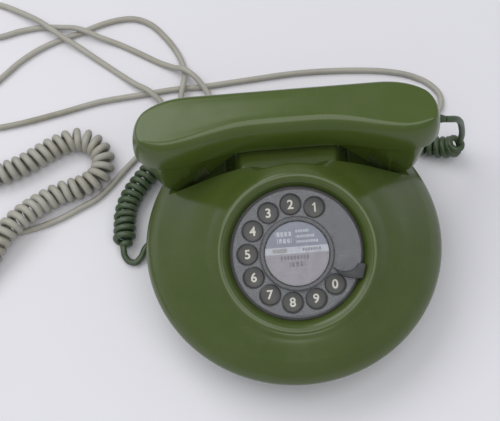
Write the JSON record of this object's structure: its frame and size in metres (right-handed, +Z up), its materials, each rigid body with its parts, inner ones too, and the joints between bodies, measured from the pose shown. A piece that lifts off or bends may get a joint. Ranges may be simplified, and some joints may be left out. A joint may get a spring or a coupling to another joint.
{
  "type": "corded desk telephone",
  "caption": "Round green desk telephone with a rotary dial, a handset across the back, a curly handset cord and a grey line cord.",
  "frame": {"origin": "middle of the round case at the level it stands on", "axes": "+Z up, +Y to the back where the handset lies, +X to the right of a person dialling"},
  "size_m": [0.3885, 0.3097, 0.105],
  "materials": {
    "case_green": "satin",
    "cord_green": "satin",
    "cord_grey": "satin",
    "dial_plastic": "gloss",
    "number_plate": "matte",
    "label": "matte",
    "label_cover": "gloss",
    "stop_metal": "satin",
    "dark_plastic": "matte",
    "foot_rubber": "matte",
    "steel": "satin",
    "brass": "satin"
  },
  "bodies": {
    "root": {"case_shell": "case_green", "base_tray": "dark_plastic", "case_screw_1": "steel", "case_screw_2": "steel", "case_screw_3": "steel", "case_screw_4": "steel", "rubber_foot_1": "foot_rubber", "rubber_foot_2": "foot_rubber", "rubber_foot_3": "foot_rubber", "rubber_foot_4": "foot_rubber", "circuit_board": "dark_plastic", "terminal_block": "dark_plastic", "induction_coil": "steel", "line_capacitor": "steel", "bell_gong": "brass", "bell_coil": "dark_plastic", "hook_switch_frame": "steel", "hook_contact_1": "brass", "hook_contact_2": "brass", "finger_stop": "stop_metal", "dial_gasket": "number_plate", "number_plate": "number_plate", "mainspring": "steel", "dial_frame": "steel", "dial_bridge": "steel", "governor_drum": "steel", "pulse_contacts": "brass", "base_gland": "cord_green", "line_gland": "cord_grey", "handset_cord_base": "cord_green", "handset_coil_left": "cord_green", "handset_coil_back": "cord_green", "handset_coil_right": "cord_green", "handset_cord_end": "cord_green", "line_cord_rear": "cord_grey", "line_cord_loops": "cord_grey", "line_cord_curl": "cord_grey", "line_cord_lead": "cord_grey", "line_cord_ring": "cord_grey", "line_cord_tail": "cord_grey", "line_plug": "cord_grey"},
    "handset": {"handset_cover": "case_green", "handset_body": "case_green", "receiver_capsule": "steel", "transmitter_capsule": "steel", "handset_gland": "cord_green"},
    "dial": {"finger_plate": "dial_plastic", "label_disc": "label", "label_ring": "dial_plastic", "label_cover": "label_cover", "dial_spindle": "steel", "main_wheel": "brass"},
    "governor": {"governor_shaft": "steel", "governor_pinion": "brass", "governor_weights": "brass"},
    "cradle": {"cradle_plunger_left": "cord_green", "cradle_plunger_right": "cord_green", "plunger_yoke": "dark_plastic"},
    "lever": {"hook_lever": "steel"},
    "hammer": {"bell_hammer": "steel"}
  },
  "joints": [
    {"name": "handset_lift", "type": "slide", "parent": "root", "child": "handset", "axis": [0, 0, 1], "range_m": [0, 0.12]},
    {"name": "dial_turn", "type": "hinge", "parent": "root", "child": "dial", "pos_m": [0, -0.024, 0.074], "axis": [0, -0.4147, 0.91], "range_deg": [-328, 0], "stiffness_Nm_per_rad": 0.008, "springref_deg": 85.94},
    {"name": "governor_spin", "type": "hinge", "parent": "root", "child": "governor", "pos_m": [-0.02798, -0.04117, 0.06617], "axis": [0, -0.4147, 0.91], "range_deg": [0, 1312]},
    {"name": "cradle_press", "type": "slide", "parent": "root", "child": "cradle", "axis": [0, 0, -1], "range_m": [0, 0.003], "stiffness_N_per_m": 300, "springref_m": -0.002},
    {"name": "hook_lever_turn", "type": "hinge", "parent": "root", "child": "lever", "pos_m": [0, 0.0445, 0.051], "axis": [1, 0, 0], "range_deg": [-13.76, 0]},
    {"name": "hammer_swing", "type": "hinge", "parent": "root", "child": "hammer", "pos_m": [0.012, 0.048, 0.024], "axis": [0, 0, 1], "range_deg": [-3, 3], "stiffness_Nm_per_rad": 0.002}
  ],
  "couplings": [
    {"joint": "governor_spin", "follows": "dial_turn", "ratio": -4},
    {"joint": "hook_lever_turn", "follows": "cradle_press", "rad_per_m": -80}
  ]
}
